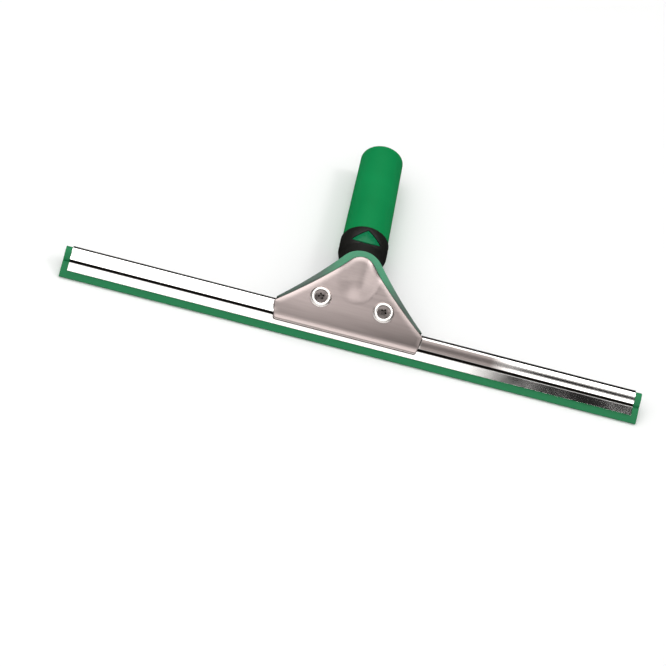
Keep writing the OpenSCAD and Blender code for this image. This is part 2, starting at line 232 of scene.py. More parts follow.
def card(name, corners):
    """A black card through four corners, seen by nothing but reflections."""
    mesh = bpy.data.meshes.new(name)
    mesh.from_pydata(corners, [], [(0, 1, 2, 3)])
    mesh.materials.append(black)
    flag = bpy.data.objects.new(name, mesh)
    scene.collection.objects.link(flag)
    flag.visible_camera = flag.visible_diffuse = flag.visible_shadow = False
    flag.visible_transmission = False


card("side_card", [(0.20, -0.78, 1.2), (0.41, -0.78, 1.2), (0.41, -0.34, 1.2), (0.22, -0.34, 1.2)])
card("back_card", [(-3, 1.6, 0.0), (3, 1.6, 0.0), (3, 1.6, 1.25), (-3, 1.6, 1.25)])
card("corner_card", [(0.24, 1.6, 1.2), (3, 1.6, 1.2), (3, 1.6, 1.8), (0.30, 1.6, 1.8)])
card("floor_card", [(-0.6, -0.05, 0.001), (0.6, -0.05, 0.001), (0.6, 1.6, 0.001),
                    (-0.6, 1.6, 0.001)])

# %% [markdown]
# ## Floor
# A wide sheet of white paper. Paper scatters light evenly and has hardly any gloss, and a faint
# tooth of about a millimetre keeps it from looking like a flat fill.

# %% Floor
paper = bpy.data.materials.new("white_paper")
paper.use_nodes = True
tree = paper.node_tree
shader = tree.nodes["Principled BSDF"]
shader.inputs["Roughness"].default_value = 0.9
shader.inputs["Specular IOR Level"].default_value = 0.1
where = add(tree, "ShaderNodeTexCoord")
tooth = add(tree, "ShaderNodeTexNoise", {"Vector": where.outputs["Object"], "Scale": 900.0})
shade = add(tree, "ShaderNodeMix", {"Factor": tooth.outputs["Fac"], "A": linear("#fbfbfa"),
            "B": linear("#fdfdfd")}, data_type="RGBA")
dress(tree, shader, shade.outputs["Result"])

floor_mesh = bpy.data.meshes.new("floor")
floor_mesh.from_pydata([(-8, -8, 0), (8, -8, 0), (8, 8, 0), (-8, 8, 0)], [], [(0, 1, 2, 3)])
floor_mesh.materials.append(paper)
floor = bpy.data.objects.new("floor", floor_mesh)
scene.collection.objects.link(floor)
scene.view_settings.view_transform = "Standard"

# %% [markdown]
# # Finishes
# Every finish starts from the real material and how its surface was made. A finish is a
# Principled shader whose colour, roughness and bump are driven by noise of a stated size. All
# patterns read object coordinates, which are metres here, so a grain of 0.4 mm is a noise scale
# of 1 / 0.0004.

# %% Start a finish
def finish(name, roughness, metallic=0.0, **more):
    """A new material with its shader's even values set, and its object coordinates."""
    made = bpy.data.materials.new(name)
    made.use_nodes = True
    nodes = made.node_tree
    surface = nodes.nodes["Principled BSDF"]
    surface.inputs["Metallic"].default_value = metallic
    surface.inputs["Roughness"].default_value = roughness
    for key, value in more.items():
        surface.inputs[key.replace("_", " ")].default_value = value
    coords = add(nodes, "ShaderNodeTexCoord").outputs["Object"]
    return made, nodes, surface, coords


def per_mm(size):
    """The noise scale whose features are about this many millimetres across."""
    return 1 / (size * MM)


# %% [markdown]
# ## Grip: thermoplastic elastomer, moulded
# The sleeve is a soft rubbery plastic, shot into a spark-eroded mould that leaves a fine even
# grain. The eye reads the grain as a broad dull sheen without a sharp highlight. Handling
# polishes and darkens it slightly in patches a few centimetres across.

# %% Grip elastomer
grip_elastomer, tree, shader, coords = finish("moulded_grip_elastomer", 0.5, IOR=1.5,
                                              Specular_IOR_Level=0.05)
patches = add(tree, "ShaderNodeTexNoise", {"Vector": coords, "Scale": per_mm(28), "Detail": 4.0})
colour = add(tree, "ShaderNodeMix", {"Factor": patches.outputs["Fac"], "A": linear("#027a41"),
             "B": linear("#048b4c")}, data_type="RGBA")
grain = add(tree, "ShaderNodeTexNoise", {"Vector": coords, "Scale": per_mm(0.45), "Detail": 2.0})
gloss = add(tree, "ShaderNodeMapRange", {"Value": patches.outputs["Fac"], "From Min": 0.3,
            "From Max": 0.7, "To Min": 0.42, "To Max": 0.58})
bump = add(tree, "ShaderNodeBump", {"Height": grain.outputs["Fac"], "Strength": 0.25,
           "Distance": 0.00006})
dress(tree, shader, colour.outputs["Result"], gloss.outputs["Result"], bump.outputs["Normal"])

# %% [markdown]
# ## Neck: black soft-touch elastomer
# The same kind of plastic in black over the bend of the neck, with the same spark-eroded grain.
# Black shows little colour, so the grain and the uneven gloss are what make it read as rubber.

# %% Neck elastomer
neck_elastomer, tree, shader, coords = finish("moulded_neck_elastomer", 0.45, IOR=1.5,
                                              Specular_IOR_Level=0.12)
patches = add(tree, "ShaderNodeTexNoise", {"Vector": coords, "Scale": per_mm(9), "Detail": 5.0})
colour = add(tree, "ShaderNodeMix", {"Factor": patches.outputs["Fac"], "A": linear("#0f0f0d"),
             "B": linear("#1c1b18")}, data_type="RGBA")
grain = add(tree, "ShaderNodeTexNoise", {"Vector": coords, "Scale": per_mm(0.4), "Detail": 2.0})
gloss = add(tree, "ShaderNodeMapRange", {"Value": patches.outputs["Fac"], "From Min": 0.3,
            "From Max": 0.7, "To Min": 0.38, "To Max": 0.52})
bump = add(tree, "ShaderNodeBump", {"Height": grain.outputs["Fac"], "Strength": 0.25,
           "Distance": 0.00006})
dress(tree, shader, colour.outputs["Result"], gloss.outputs["Result"], bump.outputs["Normal"])

# %% [markdown]
# ## Core: glass-filled nylon, moulded
# The rear jaw and the tube inside the handle are one stiff green moulding. Short glass fibres
# near the skin make it greyer than the grip, with a faint streakiness along the flow. Its lower
# wings fade to a dark grey, which is painted shade.

# %% Core plastic
core_plastic, tree, shader, coords = finish("moulded_glass_filled_nylon", 0.42, IOR=1.53,
                                            Specular_IOR_Level=0.3)
apart = add(tree, "ShaderNodeSeparateXYZ", {"Vector": coords})
stretch = add(tree, "ShaderNodeMapping", {"Vector": coords, "Scale": (0.25, 1.0, 1.0)})
flow = add(tree, "ShaderNodeTexNoise", {"Vector": stretch.outputs["Vector"],
           "Scale": per_mm(1.6), "Detail": 5.0})
unshaded_core = add(tree, "ShaderNodeMix", {"Factor": flow.outputs["Fac"], "A": linear("#21744c"),
            "B": linear("#36906a")}, data_type="RGBA")
# Painted shade: the lower wings fade to a dark grey towards their ends.
left_wing = add(tree, "ShaderNodeMapRange", {"Value": apart.outputs["X"], "From Min": -0.014,
                "From Max": -0.030, "To Min": 0.0, "To Max": 0.85}, interpolation_type="SMOOTHSTEP")
right_wing = add(tree, "ShaderNodeMapRange", {"Value": apart.outputs["X"], "From Min": 0.008,
                 "From Max": 0.024, "To Min": 0.0, "To Max": 0.85}, interpolation_type="SMOOTHSTEP")
wing_shade = add(tree, "ShaderNodeMath", {0: left_wing.outputs["Result"],
            1: right_wing.outputs["Result"]}, operation="MAXIMUM")
colour = add(tree, "ShaderNodeMix", {"Factor": wing_shade.outputs["Value"],
             "A": unshaded_core.outputs["Result"], "B": linear("#3f4442")}, data_type="RGBA")
gloss = add(tree, "ShaderNodeMapRange", {"Value": flow.outputs["Fac"], "From Min": 0.3,
            "From Max": 0.7, "To Min": 0.36, "To Max": 0.5})
bump = add(tree, "ShaderNodeBump", {"Height": flow.outputs["Fac"], "Strength": 0.15,
           "Distance": 0.0001})
dress(tree, shader, colour.outputs["Result"], gloss.outputs["Result"], bump.outputs["Normal"])

# %% [markdown]
# ## Button: acetal, moulded
# The thumb button is a slippery plastic with a half-gloss skin, a clearer green than the core.

# %% Button plastic
button_plastic, tree, shader, coords = finish("moulded_acetal", 0.3, IOR=1.48,
                                              Specular_IOR_Level=0.12)
patches = add(tree, "ShaderNodeTexNoise", {"Vector": coords, "Scale": per_mm(2.2), "Detail": 3.0})
colour = add(tree, "ShaderNodeMix", {"Factor": patches.outputs["Fac"], "A": linear("#056c40"),
             "B": linear("#0c7a4d")}, data_type="RGBA")
gloss = add(tree, "ShaderNodeMapRange", {"Value": patches.outputs["Fac"], "From Min": 0.3,
            "From Max": 0.7, "To Min": 0.24, "To Max": 0.38})
bump = add(tree, "ShaderNodeBump", {"Height": patches.outputs["Fac"], "Strength": 0.08,
           "Distance": 0.0001})
dress(tree, shader, colour.outputs["Result"], gloss.outputs["Result"], bump.outputs["Normal"])

# %% [markdown]
# ## Blade rubber: extruded natural rubber
# The strip is extruded, so every mark on it runs along its length. A fresh strip has a dull,
# slightly waxy skin. The stretch makes the noise forty times longer along the blade than across.

# %% Blade rubber
blade_rubber, tree, shader, coords = finish("extruded_blade_rubber", 0.5, IOR=1.52,
                                            Specular_IOR_Level=0.15)
stretch = add(tree, "ShaderNodeMapping", {"Vector": coords, "Scale": (0.025, 1.0, 1.0)})
streaks = add(tree, "ShaderNodeTexNoise", {"Vector": stretch.outputs["Vector"],
              "Scale": per_mm(0.7), "Detail": 4.0})
bloom = add(tree, "ShaderNodeTexNoise", {"Vector": coords, "Scale": per_mm(14), "Detail": 5.0})
mixed = add(tree, "ShaderNodeMix", {"Factor": 0.5, "A": streaks.outputs["Fac"],
            "B": bloom.outputs["Fac"]}, data_type="FLOAT")
colour = add(tree, "ShaderNodeMix", {"Factor": mixed.outputs["Result"], "A": linear("#0a6b3a"),
             "B": linear("#168150")}, data_type="RGBA")
gloss = add(tree, "ShaderNodeMapRange", {"Value": bloom.outputs["Fac"], "From Min": 0.3,
            "From Max": 0.7, "To Min": 0.44, "To Max": 0.6})
bump = add(tree, "ShaderNodeBump", {"Height": streaks.outputs["Fac"], "Strength": 0.12,
           "Distance": 0.00008})
dress(tree, shader, colour.outputs["Result"], gloss.outputs["Result"], bump.outputs["Normal"])

# %% [markdown]
# ## Pad rubber: die-cut sheet
# The jaws grip through strips cut from black rubber sheet. The sheet carries the weave of the
# cloth that it was cured against, about a millimetre in pitch.

# %% Pad rubber
pad_rubber, tree, shader, coords = finish("die_cut_pad_rubber", 0.75, IOR=1.52)
cloth = add(tree, "ShaderNodeTexVoronoi", {"Vector": coords, "Scale": per_mm(0.9)})
colour = add(tree, "ShaderNodeMix", {"Factor": cloth.outputs["Distance"],
             "A": linear("#141414"), "B": linear("#232322")}, data_type="RGBA")
bump = add(tree, "ShaderNodeBump", {"Height": cloth.outputs["Distance"], "Strength": 0.3,
           "Distance": 0.0001})
dress(tree, shader, colour.outputs["Result"], normal=bump.outputs["Normal"])

# %% [markdown]
# ## Plate: pressed stainless steel, satin
# The front jaw is stainless sheet, pressed and then bead-blasted, which breaks the reflections
# into a soft warm grey. Its grain is too fine to draw at its true tenth of a millimetre, so it
# is drawn at 0.5 mm. Faint rolling streaks run along the blade, and painted shade darkens the
# plate towards its foot and its right wing.

# %% Satin steel
satin_steel, tree, shader, coords = finish("satin_pressed_stainless", 0.34, metallic=1.0)
blast = add(tree, "ShaderNodeTexNoise", {"Vector": coords, "Scale": per_mm(0.5), "Detail": 3.0})
stretch = add(tree, "ShaderNodeMapping", {"Vector": coords, "Scale": (0.04, 1.0, 1.0)})
rolled = add(tree, "ShaderNodeTexNoise", {"Vector": stretch.outputs["Vector"],
             "Scale": per_mm(1.1), "Detail": 5.0})
sheet = add(tree, "ShaderNodeMix", {"Factor": rolled.outputs["Fac"], "A": linear("#877c7a"),
            "B": linear("#978c89")}, data_type="RGBA")
up_the_head = (0, math.cos(TILT), math.sin(TILT))
foot_at = (head_y * up_the_head[1] + head_z * up_the_head[2]) * MM
# Painted shade: the plate darkens towards its foot and its right wing.
climb = add(tree, "ShaderNodeVectorMath", {0: coords, 1: up_the_head}, operation="DOT_PRODUCT")
low_down = add(tree, "ShaderNodeMapRange", {"Value": climb.outputs["Value"],
               "From Min": foot_at + 18 * MM, "From Max": foot_at + 6 * MM, "To Max": 0.45})
along = add(tree, "ShaderNodeSeparateXYZ", {"Vector": coords})
to_right = add(tree, "ShaderNodeMapRange", {"Value": along.outputs["X"], "From Min": -0.030,
               "From Max": 0.040, "To Max": 0.45})
haze_and_shade = add(tree, "ShaderNodeMath", {0: low_down.outputs["Result"], 1: to_right.outputs["Result"]},
           operation="ADD")
above_bend = add(tree, "ShaderNodeMapRange", {"Value": climb.outputs["Value"],
                 "From Min": foot_at + 3.5 * MM, "From Max": foot_at + 5.5 * MM})
haze_and_shade = add(tree, "ShaderNodeMath", {0: haze_and_shade.outputs["Value"], 1: above_bend.outputs["Result"]},
           operation="MULTIPLY")
colour = add(tree, "ShaderNodeMix", {"Factor": haze_and_shade.outputs["Value"],
             "A": sheet.outputs["Result"], "B": linear("#4a4442")}, data_type="RGBA")
gloss = add(tree, "ShaderNodeMapRange", {"Value": rolled.outputs["Fac"], "From Min": 0.3,
            "From Max": 0.7, "To Min": 0.30, "To Max": 0.37})
bump = add(tree, "ShaderNodeBump", {"Height": blast.outputs["Fac"], "Strength": 0.08,
           "Distance": 0.00005})
dress(tree, shader, colour.outputs["Result"], gloss.outputs["Result"], bump.outputs["Normal"])

# %% [markdown]
# ## Channel: mirror-polished stainless steel
# The channel is roll-formed and polished, so it reflects the room almost sharply. Drawing dies
# leave hairlines that run its whole length, and wiping leaves a slightly hazy film in patches.
# A thin dark line of painted shade runs along the groove under the bead, and the bead is drawn
# a darker, hazier grey to the right of the clamp.

# %% Polished steel
polished_steel, tree, shader, coords = finish("polished_stainless", 0.07, metallic=1.0)
stretch = add(tree, "ShaderNodeMapping", {"Vector": coords, "Scale": (0.01, 1.0, 1.0)})
lines = add(tree, "ShaderNodeTexNoise", {"Vector": stretch.outputs["Vector"],
            "Scale": per_mm(0.5), "Detail": 4.0})
haze_and_shade = add(tree, "ShaderNodeTexNoise", {"Vector": coords, "Scale": per_mm(20), "Detail": 4.0})
colour = add(tree, "ShaderNodeMix", {"Factor": lines.outputs["Fac"], "A": linear("#e2dfdc"),
             "B": linear("#f2f0ee")}, data_type="RGBA")
gloss = add(tree, "ShaderNodeMapRange", {"Value": haze_and_shade.outputs["Fac"], "From Min": 0.35,
            "From Max": 0.75, "To Min": 0.05, "To Max": 0.13})
bump = add(tree, "ShaderNodeBump", {"Height": lines.outputs["Fac"], "Strength": 0.04,
           "Distance": 0.00003})
GROOVE_U = 4.5
PATCH_STARTS, PATCH_FULL, PATCH_THINS, PATCH_ENDS = 0.034, 0.042, 0.085, 0.112
climb = add(tree, "ShaderNodeVectorMath", {0: coords, 1: up_the_head}, operation="DOT_PRODUCT")
from_groove = add(tree, "ShaderNodeMath", {0: climb.outputs["Value"], 1: -foot_at - GROOVE_U * MM},
                  operation="ADD")
apart = add(tree, "ShaderNodeMath", {0: from_groove.outputs["Value"]}, operation="ABSOLUTE")
# Painted shade: a thin dark line along the groove under the bead.
groove_shade = add(tree, "ShaderNodeMapRange", {"Value": apart.outputs["Value"], "From Min": 0.8 * MM,
             "From Max": 1.15 * MM, "To Min": 1.0, "To Max": 0.0})
along = add(tree, "ShaderNodeSeparateXYZ", {"Vector": coords})
# The bead is drawn a darker grey, and hazier, to the right of the clamp.
starts = add(tree, "ShaderNodeMapRange", {"Value": along.outputs["X"], "From Min": PATCH_STARTS,
             "From Max": PATCH_FULL})
ends = add(tree, "ShaderNodeMapRange", {"Value": along.outputs["X"], "From Min": PATCH_ENDS,
           "From Max": PATCH_THINS})
on_bead = add(tree, "ShaderNodeMapRange", {"Value": from_groove.outputs["Value"],
              "From Min": 0.6 * MM, "From Max": 1.2 * MM})
under_top = add(tree, "ShaderNodeMapRange", {"Value": from_groove.outputs["Value"],
                "From Min": 7.7 * MM, "From Max": 6.9 * MM})
grey_patch = add(tree, "ShaderNodeMath", {0: starts.outputs["Result"], 1: ends.outputs["Result"]},
            operation="MULTIPLY")
grey_patch = add(tree, "ShaderNodeMath", {0: grey_patch.outputs["Value"], 1: under_top.outputs["Result"]},
            operation="MULTIPLY")
grey_patch = add(tree, "ShaderNodeMath", {0: grey_patch.outputs["Value"], 1: on_bead.outputs["Result"]},
            operation="MULTIPLY")
grey_patched = add(tree, "ShaderNodeMix", {"Factor": grey_patch.outputs["Value"],
             "A": colour.outputs["Result"], "B": linear("#5f5856")}, data_type="RGBA")
groove_shaded = add(tree, "ShaderNodeMix", {"Factor": groove_shade.outputs["Result"],
            "A": grey_patched.outputs["Result"], "B": linear("#161412")}, data_type="RGBA")
hazed = add(tree, "ShaderNodeMath", {0: grey_patch.outputs["Value"], 1: 0.22,
            2: gloss.outputs["Result"]}, operation="MULTIPLY_ADD")
dulled = add(tree, "ShaderNodeMath", {0: groove_shade.outputs["Result"], 1: 0.5,
             2: hazed.outputs["Value"]}, operation="MULTIPLY_ADD")
dress(tree, shader, groove_shaded.outputs["Result"], dulled.outputs["Value"], bump.outputs["Normal"])

# %% [markdown]
# ## Washers and nuts: bright zinc plate
# Zinc plating is silvery with a cool, slightly mottled bloom where the passivation layer varies.

# %% Zinc plate
zinc_steel, tree, shader, coords = finish("bright_zinc_plate", 0.22, metallic=1.0)
mottle = add(tree, "ShaderNodeTexNoise", {"Vector": coords, "Scale": per_mm(1.5), "Detail": 4.0})
colour = add(tree, "ShaderNodeMix", {"Factor": mottle.outputs["Fac"], "A": linear("#dcd6d2"),
             "B": linear("#f4f0ec")}, data_type="RGBA")
gloss = add(tree, "ShaderNodeMapRange", {"Value": mottle.outputs["Fac"], "From Min": 0.3,
            "From Max": 0.7, "To Min": 0.16, "To Max": 0.3})
dress(tree, shader, colour.outputs["Result"], gloss.outputs["Result"])

# %% [markdown]
# ## Screws: cold-headed steel
# The heads are drawn nearly black and mottled, much darker than the washers round them: painted
# shade, for the shade in the washers' cups and the dark that the heads reflect. The spring is
# drawn with the same finish.

# %% Screw steel
screw_steel, tree, shader, coords = finish("cold_headed_steel", 0.24, metallic=1.0)
mottle = add(tree, "ShaderNodeTexNoise", {"Vector": coords, "Scale": per_mm(0.8), "Detail": 4.0})
# Painted shade: the nearly black colour stands in for the shade in the washers' cups.
colour = add(tree, "ShaderNodeMix", {"Factor": mottle.outputs["Fac"], "A": linear("#2f2b2a"),
             "B": linear("#5c5654")}, data_type="RGBA")
gloss = add(tree, "ShaderNodeMapRange", {"Value": mottle.outputs["Fac"], "From Min": 0.3,
            "From Max": 0.7, "To Min": 0.16, "To Max": 0.32})
dress(tree, shader, colour.outputs["Result"], gloss.outputs["Result"])
print(len(bpy.data.materials), "materials")

# %% [markdown]
# # Pieces
# A finished piece is one closed mesh. This function puts it in place, closes its seams, turns its
# faces outwards, marks the creases, and ties it to the body that carries it.

# %% Finish a piece
def settle(name, mesh, where, material, body, stands_for, crease=32):
    """Turns a mesh in millimetres into a piece of the tool, and says how big it came out."""
    mesh.name = name
    work = bmesh.new()
    work.from_mesh(mesh)
    bmesh.ops.remove_doubles(work, verts=work.verts, dist=0.001)
    bmesh.ops.recalc_face_normals(work, faces=work.faces)
    open_edges = sum(1 for e in work.edges if len(e.link_faces) != 2)
    work.to_mesh(mesh)
    work.free()
    mesh.transform(where)
    mesh.materials.clear()
    mesh.materials.append(material)
    mesh.shade_smooth()
    mesh.set_sharp_from_angle(angle=math.radians(crease))
    piece = bpy.data.objects.new(name, mesh)
    scene.collection.objects.link(piece)
    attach(piece, body)
    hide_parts(*stands_for)
    mesh.calc_loop_triangles()
    print(f"{name}: {len(mesh.loop_triangles)} triangles, {open_edges} open edges")
    return piece


def soften(mesh, width, angle):
    """Rounds every edge sharper than the angle, as a mould or a tumbler would."""
    work = bmesh.new()
    work.from_mesh(mesh)
    sharp = [e for e in work.edges if len(e.link_faces) == 2
             and e.calc_face_angle(0) > math.radians(angle)]
    bmesh.ops.bevel(work, geom=sharp, offset=width, segments=2, profile=0.5,
                    affect="EDGES", clamp_overlap=True)
    work.to_mesh(mesh)
    work.free()
    return mesh


# %% [markdown]
# ## Growing a mesh from an outline
# Much of the tool follows a rule: the blade's sections run straight along it, and the washers,
# screws and grip are turned about an axis. Geometry Nodes state such a rule once. Each tree gets
# its outline as a mesh of edges and its sizes as named inputs.

# %% Outlines and trees
def outline(points, closed=True):
    """A chain of edges through flat points, to feed a node tree."""
    mesh = bpy.data.meshes.new("outline")
    last = len(points) if closed else len(points) - 1
    edges = [(i, (i + 1) % len(points)) for i in range(last)]
    mesh.from_pydata([(*p, 0) for p in points], edges, [])
    return mesh


def new_rule(name, **sizes):
    """An empty node tree with a geometry input, named sizes and a material."""
    rule = bpy.data.node_groups.new(name, "GeometryNodeTree")
    rule.interface.new_socket("Geometry", in_out="INPUT", socket_type="NodeSocketGeometry")
    for size, start in sizes.items():
        kind = "NodeSocketInt" if isinstance(start, int) else "NodeSocketFloat"
        rule.interface.new_socket(size, in_out="INPUT", socket_type=kind).default_value = start
    rule.interface.new_socket("Material", in_out="INPUT", socket_type="NodeSocketMaterial")
    rule.interface.new_socket("Geometry", in_out="OUTPUT", socket_type="NodeSocketGeometry")
    return rule, add(rule, "NodeGroupInput").outputs


def end_rule(rule, given, geometry):
    """Realize Instances, Set Material and the output, which close every tree."""
    real = add(rule, "GeometryNodeRealizeInstances", {"Geometry": geometry})
    painted = add(rule, "GeometryNodeSetMaterial", {"Geometry": real.outputs["Geometry"],
                  "Material": given["Material"]})
    add(rule, "NodeGroupOutput", {"Geometry": painted.outputs["Geometry"]})


def grow(rule, start, **sizes):
    """Runs a tree on a starting mesh and returns the result as a plain mesh."""
    holder = bpy.data.objects.new("holder", start)
    scene.collection.objects.link(holder)
    modifier = holder.modifiers.new("rule", "NODES")
    modifier.node_group = rule
    for item in rule.interface.items_tree:
        if item.in_out == "INPUT" and item.name in sizes:
            modifier[item.identifier] = sizes[item.name]
    depsgraph = bpy.context.evaluated_depsgraph_get()
    made = bpy.data.meshes.new_from_object(holder.evaluated_get(depsgraph))
    bpy.data.objects.remove(holder)
    work = bmesh.new()
    work.from_mesh(made)
    bmesh.ops.recalc_face_normals(work, faces=work.faces)
    work.to_mesh(made)
    work.free()
    return made


def arc(centre, radius, start, end, steps):
    """Points on an arc, by angle in degrees."""
    turns = [math.radians(start + (end - start) * i / steps) for i in range(steps + 1)]
    return [(centre[0] + radius * math.cos(t), centre[1] + radius * math.sin(t)) for t in turns]


# %% [markdown]
# ## Rule 1: run a section along the blade
# Mesh to Curve makes the section a curve, and Curve to Mesh sweeps it along a straight line and
# caps both ends.

# %% The sweep
sweep, given = new_rule("section_along_a_line", Length=100.0)
half = add(sweep, "ShaderNodeMath", {0: given["Length"], 1: 0.5}, operation="MULTIPLY")
minus = add(sweep, "ShaderNodeMath", {0: half.outputs["Value"], 1: -1.0}, operation="MULTIPLY")
low = add(sweep, "ShaderNodeCombineXYZ", {"Z": minus.outputs["Value"]})
high = add(sweep, "ShaderNodeCombineXYZ", {"Z": half.outputs["Value"]})
line = add(sweep, "GeometryNodeCurvePrimitiveLine", {"Start": low.outputs["Vector"],
           "End": high.outputs["Vector"]})
section = add(sweep, "GeometryNodeMeshToCurve", {"Mesh": given["Geometry"]})
solid = add(sweep, "GeometryNodeCurveToMesh", {"Curve": line.outputs["Curve"],
            "Profile Curve": section.outputs["Curve"], "Fill Caps": True})
end_rule(sweep, given, solid.outputs["Mesh"])

# %% [markdown]
# ## Channel
# On the real tool it is one strip of stainless steel, roll-formed into an oval bead that locks
# round the rubber's bulb, a waist, and two skirts. The section is drawn once round the outside
# and back along the inside, one sheet thickness in.

# %% Channel
BEAD_TOP, BEAD_R, BEAD_TALL, SHEET, SKIRT_HALF, SKIRT_DROP = 14.5, 3.6, 5.6, 0.75, 2.5, 1.6
BEAD_U = BEAD_TOP - BEAD_TALL
SKIRT_TOP, WAIST, CURL_R = 4.86, 0.9, 1.4


def oval(shrink, end, steps):
    """Half of the bead's oval: from the waist, where its half width is end, up to its top."""
    wide, tall = BEAD_R - shrink, BEAD_TALL - shrink
    start = math.pi - math.asin(end / wide)
    turns = [start * (1 - i / steps) for i in range(steps + 1)]
    return [(BEAD_U + tall * math.cos(t), wide * math.sin(t)) for t in turns]


def half_section(inset):
    """One side of the wall, from the foot up round the bead. A point just short of the curl keeps
    the skirt's shading flat."""
    half = SKIRT_HALF - inset
    curl = CURL_R - inset
    shoulder_u = SKIRT_TOP - inset
    level = (BEAD_U - shoulder_u) / BEAD_TALL
    at_waist = WAIST if inset else BEAD_R * math.sqrt(1 - level ** 2)
    corner = arc((shoulder_u - curl, half - curl), curl, 90, 0, 8)
    inner = [(shoulder_u, WAIST)] if inset else []
    foot = [(-SKIRT_DROP, half), (shoulder_u - curl - 0.2, half)]
    return foot + corner + inner + oval(inset, at_waist, 44)


outer, inner = half_section(0), half_section(SHEET)
ring = outer + [(u, -n) for u, n in reversed(outer[:-1])]
back_way = [(u, -n) for u, n in inner] + [(u, n) for u, n in reversed(inner[:-1])]
channel_low, channel_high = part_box("channel")
channel_len = (channel_high.x - channel_low.x) / MM
mesh = grow(sweep, outline(ring + back_way), Length=channel_len, Material=polished_steel)
soften(mesh, 0.12, angle=50)
channel = settle("channel_strip", mesh, BLADE, polished_steel, "blade_channel", ["channel"],
                 crease=18)
print("channel is", round(channel_len, 2), "mm long and its piece reaches",
      [round(c / MM, 2) for c in channel.bound_box[6]])

# %% [markdown]
# ## Rubber strip
# The strip is one extrusion: a round bulb that the bead grips, a thin neck through the waist, a
# body between the skirts, and a lip that tapers to the wiping edge. It runs past both ends of the
# channel, so that the metal never touches the glass.

# %% Rubber strip
PLAY = 0.05
BODY, SHOULDER, NECK = SKIRT_HALF - SHEET - PLAY, SKIRT_TOP - SHEET - PLAY, WAIST - PLAY

side = [(-LIP_H, LIP_T / 2 - 0.1), (-LIP_H + 0.1, LIP_T / 2), (-SKIRT_DROP, BODY)]
side += [(SHOULDER - 0.7, BODY), (SHOULDER, BODY - 0.7), (SHOULDER, NECK)]
side += oval(SHEET + PLAY, NECK, 30)
strip = side + [(u, -n) for u, n in reversed(side[:-1])]
rubber_low, rubber_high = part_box("rubber_blade")
rubber_len = (rubber_high.x - rubber_low.x) / MM
mesh = grow(sweep, outline(strip), Length=rubber_len, Material=blade_rubber)
soften(mesh, 0.15, angle=60)
settle("rubber_strip", mesh, BLADE, blade_rubber, "blade_rubber", ["rubber_blade"],
       crease=18)

# %% [markdown]
# ## Rule 2: turn an outline about an axis
# A circle is swept instead of a line, and the outline rides on it as its profile. The tree then
# places copies in a row, so the two washers come from one rule. The circle's own radius is taken
# off the outline first, because Curve to Mesh adds it back.

# %% The lathe
CIRCLE_R = 20.0
lathe, given = new_rule("outline_round_an_axis", Steps=96, Copies=1, Spacing=0.0)
path = add(lathe, "GeometryNodeCurvePrimitiveCircle", {"Resolution": given["Steps"],
           "Radius": CIRCLE_R})
shifted = add(lathe, "GeometryNodeTransform", {"Geometry": given["Geometry"],
              "Translation": (-CIRCLE_R, 0, 0), "Scale": (1, -1, 1)})
profile = add(lathe, "GeometryNodeMeshToCurve", {"Mesh": shifted.outputs["Geometry"]})
turned = add(lathe, "GeometryNodeCurveToMesh", {"Curve": path.outputs["Curve"],
             "Profile Curve": profile.outputs["Curve"], "Fill Caps": False})
closed = add(lathe, "GeometryNodeMergeByDistance", {"Geometry": turned.outputs["Mesh"],
             "Distance": 0.0005})
less = add(lathe, "ShaderNodeMath", {0: given["Copies"], 1: -1.0}, operation="ADD")
span = add(lathe, "ShaderNodeMath", {0: less.outputs["Value"], 1: given["Spacing"]},
           operation="MULTIPLY")
back_half = add(lathe, "ShaderNodeMath", {0: span.outputs["Value"], 1: -0.5},
                operation="MULTIPLY")
first = add(lathe, "ShaderNodeCombineXYZ", {"X": back_half.outputs["Value"]})
step = add(lathe, "ShaderNodeCombineXYZ", {"X": given["Spacing"]})
row = add(lathe, "GeometryNodeMeshLine", {"Count": given["Copies"],
          "Start Location": first.outputs["Vector"], "Offset": step.outputs["Vector"]})
copies = add(lathe, "GeometryNodeInstanceOnPoints", {"Points": row.outputs["Mesh"],
             "Instance": closed.outputs["Geometry"]})
end_rule(lathe, given, copies.outputs["Instances"])

# %% [markdown]
# ## Grip
# A plain tapered sleeve over the handle's tube, thick enough for its ends to be rounded by the
# mould. Its tail wraps over the tube's end and leaves the socket open for a pole.

# %% Grip
GRIP_R, TAIL_R, TUBE_R, SOCKET_R = 14.3, 13.4, 11.9, 10.0
NOSE_ROUND, TAIL_ROUND, MOUTH_ROUND = 0.5, 2.2, 0.4
LONG = REACH - SLEEVE_END
TAPER_LEN = LONG - NOSE_ROUND - TAIL_ROUND
grip_outline = [(TUBE_R, 0), (GRIP_R - NOSE_ROUND, 0)]
grip_outline += arc((GRIP_R - NOSE_ROUND, NOSE_ROUND), NOSE_ROUND, -90, 0, 5)[1:]
grip_outline += [(GRIP_R + (TAIL_R - GRIP_R) * i / 12, NOSE_ROUND + TAPER_LEN * i / 12)
                 for i in range(1, 12)]
grip_outline += arc((TAIL_R - TAIL_ROUND, LONG - TAIL_ROUND), TAIL_ROUND, 0, 90, 12)
grip_outline += arc((SOCKET_R + MOUTH_ROUND, LONG - MOUTH_ROUND), MOUTH_ROUND, 90, 180, 5)
grip_outline += [(SOCKET_R, LONG - 1), (TUBE_R, LONG - 1)]
mesh = grow(lathe, outline(grip_outline), Steps=128, Material=grip_elastomer)
print("grip's ends along its axis:", sorted({round(v.co.z, 1) for v in mesh.vertices})[::8])
settle("grip_sleeve_moulding", mesh, handle_at(SLEEVE_END), grip_elastomer, "handle",
       ["grip_sleeve"])

# %% [markdown]
# ## Cup washers
# Each screw sits in a finishing washer, pressed from thin steel: a flat base, a sloping flank and
# a rolled lip round a cup. A small square notch in its rim faces up the head.

